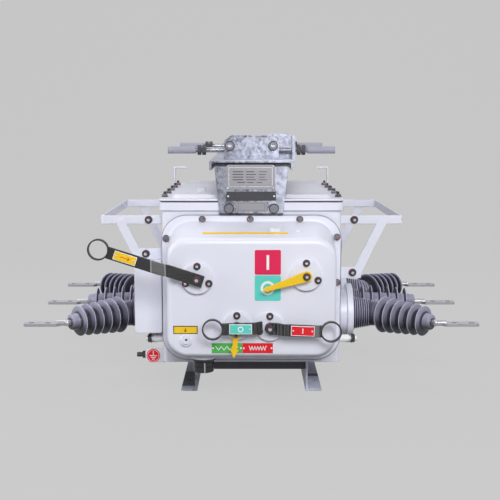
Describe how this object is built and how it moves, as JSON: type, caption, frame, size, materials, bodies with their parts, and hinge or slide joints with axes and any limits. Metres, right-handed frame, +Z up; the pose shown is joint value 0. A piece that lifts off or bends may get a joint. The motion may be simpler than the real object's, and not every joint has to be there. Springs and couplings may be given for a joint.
{
  "type": "outdoor vacuum circuit breaker",
  "caption": "Sealed steel tank with silicone bushings and terminal palms at both sides, spring mechanism cover with lever and pull rings, hanger over the lid and foot rails.",
  "frame": {"origin": "on the ground, in the middle of the four foot holes", "axes": "+X to the right of someone facing the mechanism cover, +Y to the back of the tank, +Z up"},
  "size_m": [1.084, 0.7906, 0.598],
  "materials": {
    "white_paint": "satin",
    "seal_rubber": "matte",
    "silicone": "satin",
    "tinned_copper": "satin",
    "galvanised": "spangled",
    "plated_steel": "bright",
    "black_steel": "satin",
    "sleeve_plastic": "matte",
    "socket_alloy": "turned",
    "white_plastic": "gloss",
    "signal_yellow": "satin"
  },
  "bodies": {
    "breaker": {"tank": "white_paint", "lid_gasket": "seal_rubber", "lid": "white_paint", "cover_gasket": "seal_rubber", "mechanism_cover": "white_paint", "side_box": "white_paint", "side_box_cover": "white_paint", "turrets_left": "white_paint", "turrets_right": "white_paint", "bushing_left_front": "silicone", "bushing_left_middle": "silicone", "bushing_left_rear": "silicone", "bushing_right_front": "silicone", "bushing_right_middle": "silicone", "bushing_right_rear": "silicone", "terminal_left_front": "tinned_copper", "terminal_left_middle": "tinned_copper", "terminal_left_rear": "tinned_copper", "terminal_right_front": "tinned_copper", "terminal_right_middle": "tinned_copper", "terminal_right_rear": "tinned_copper", "bracket_left": "white_paint", "bracket_right": "white_paint", "bracket_braces": "white_paint", "hanger_beam": "galvanised", "hanger_plates": "galvanised", "clamp_plates": "galvanised", "rod_brackets": "galvanised", "tie_rods": "plated_steel", "rod_sleeves": "sleeve_plastic", "rod_nuts": "black_steel", "lifting_hooks": "white_paint", "foot_rail_left": "galvanised", "foot_rail_right": "galvanised", "foot_crossbars": "galvanised", "cable_socket": "socket_alloy", "fill_valve": "plated_steel", "wall_studs": "white_plastic", "earth_lug": "white_paint", "shaft_bosses": "white_paint"},
    "charging_lever": {"charging_lever": "black_steel"},
    "position_pointer": {"position_pointer": "signal_yellow"},
    "opening_handle": {"opening_handle": "black_steel"},
    "closing_handle": {"closing_handle": "black_steel"},
    "energy_arrow": {"energy_arrow": "signal_yellow"}
  },
  "joints": [
    {"name": "lever_swing", "type": "hinge", "parent": "breaker", "child": "charging_lever", "pos_m": [-0.118, -0.424, 0.293], "axis": [0, -1, 0], "range_deg": [0, 75]},
    {"name": "pointer_turn", "type": "hinge", "parent": "breaker", "child": "position_pointer", "pos_m": [0.119, -0.424, 0.3], "axis": [0, 1, 0], "range_deg": [0, 37]},
    {"name": "opening_pull", "type": "hinge", "parent": "breaker", "child": "opening_handle", "pos_m": [-0.032, -0.424, 0.1875], "axis": [0, -1, 0], "range_deg": [0, 35], "stiffness_Nm_per_rad": 0.4, "springref_deg": -20.05},
    {"name": "closing_pull", "type": "hinge", "parent": "breaker", "child": "closing_handle", "pos_m": [0.04, -0.424, 0.186], "axis": [0, 1, 0], "range_deg": [0, 35], "stiffness_Nm_per_rad": 0.4, "springref_deg": -20.05},
    {"name": "arrow_turn", "type": "hinge", "parent": "breaker", "child": "energy_arrow", "pos_m": [-0.034, -0.424, 0.1665], "axis": [0, -1, 0], "range_deg": [0, 60]}
  ]
}
